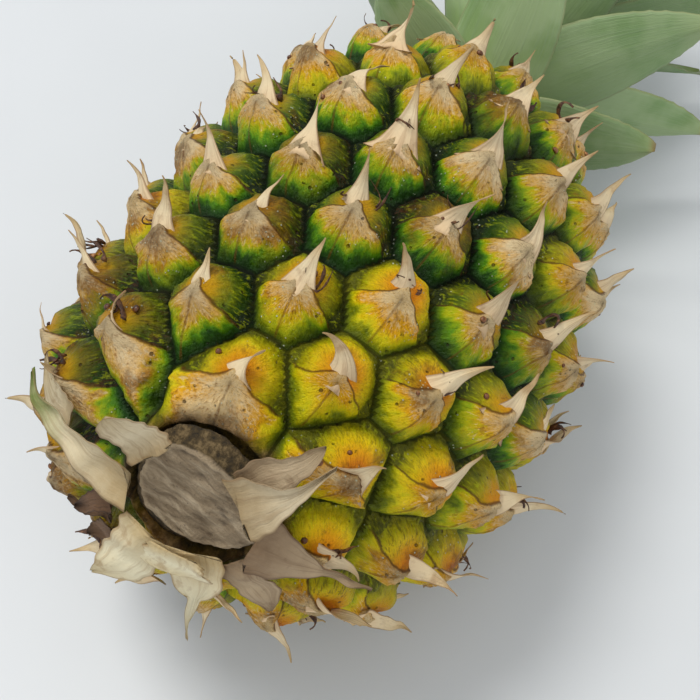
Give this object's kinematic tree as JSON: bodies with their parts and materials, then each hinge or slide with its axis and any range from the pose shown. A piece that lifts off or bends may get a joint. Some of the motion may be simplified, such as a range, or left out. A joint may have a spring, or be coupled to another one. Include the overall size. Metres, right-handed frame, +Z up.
{
  "type": "pineapple",
  "caption": "Whole pineapple lying on its side: one grown fruit with spiral eyes, cut stem, dry bracts at the base and a leafy crown.",
  "frame": {"origin": "middle of the small flat spot under the fruit, on the surface that it rests on", "axes": "+X along the fruit from the cut base to the crown, +Z up, +Y to the left when looking from the base to the crown"},
  "size_m": [0.2884, 0.133, 0.1212],
  "materials": {
    "rind": "waxy rind with yellow-green eyes and dry bract tips",
    "stem_pith": "dry fibrous cut",
    "dry_bract": "dry papery scale",
    "crown_stem": "pale living stem",
    "crown_leaf": "waxy grey-green leaf"
  },
  "bodies": {
    "root": {"fruit_body": "rind", "cut_stem": "stem_pith", "basal_bract_01": "dry_bract", "basal_bract_02": "dry_bract", "basal_bract_03": "dry_bract", "basal_bract_04": "dry_bract", "basal_bract_05": "dry_bract", "basal_bract_06": "dry_bract", "basal_bract_07": "dry_bract", "basal_bract_08": "dry_bract", "basal_bract_09": "dry_bract", "basal_bract_10": "dry_bract", "crown_core": "crown_stem", "crown_leaf_01": "crown_leaf", "crown_leaf_02": "crown_leaf", "crown_leaf_03": "crown_leaf", "crown_leaf_04": "crown_leaf", "crown_leaf_05": "crown_leaf", "crown_leaf_06": "crown_leaf", "crown_leaf_07": "crown_leaf", "crown_leaf_08": "crown_leaf", "crown_leaf_09": "crown_leaf", "crown_leaf_10": "crown_leaf", "crown_leaf_11": "crown_leaf", "crown_leaf_12": "crown_leaf", "crown_leaf_13": "crown_leaf", "crown_leaf_14": "crown_leaf", "crown_leaf_15": "crown_leaf", "crown_leaf_16": "crown_leaf", "crown_leaf_17": "crown_leaf", "crown_leaf_18": "crown_leaf", "crown_leaf_19": "crown_leaf", "crown_leaf_20": "crown_leaf", "crown_leaf_21": "crown_leaf", "crown_leaf_22": "crown_leaf", "crown_leaf_23": "crown_leaf", "crown_leaf_24": "crown_leaf", "crown_leaf_25": "crown_leaf", "crown_leaf_26": "crown_leaf", "crown_leaf_27": "crown_leaf", "crown_leaf_28": "crown_leaf", "crown_leaf_29": "crown_leaf", "crown_leaf_30": "crown_leaf", "crown_leaf_31": "crown_leaf", "crown_leaf_32": "crown_leaf", "crown_leaf_33": "crown_leaf", "crown_leaf_34": "crown_leaf", "crown_leaf_35": "crown_leaf", "crown_leaf_36": "crown_leaf"}
  },
  "joints": []
}
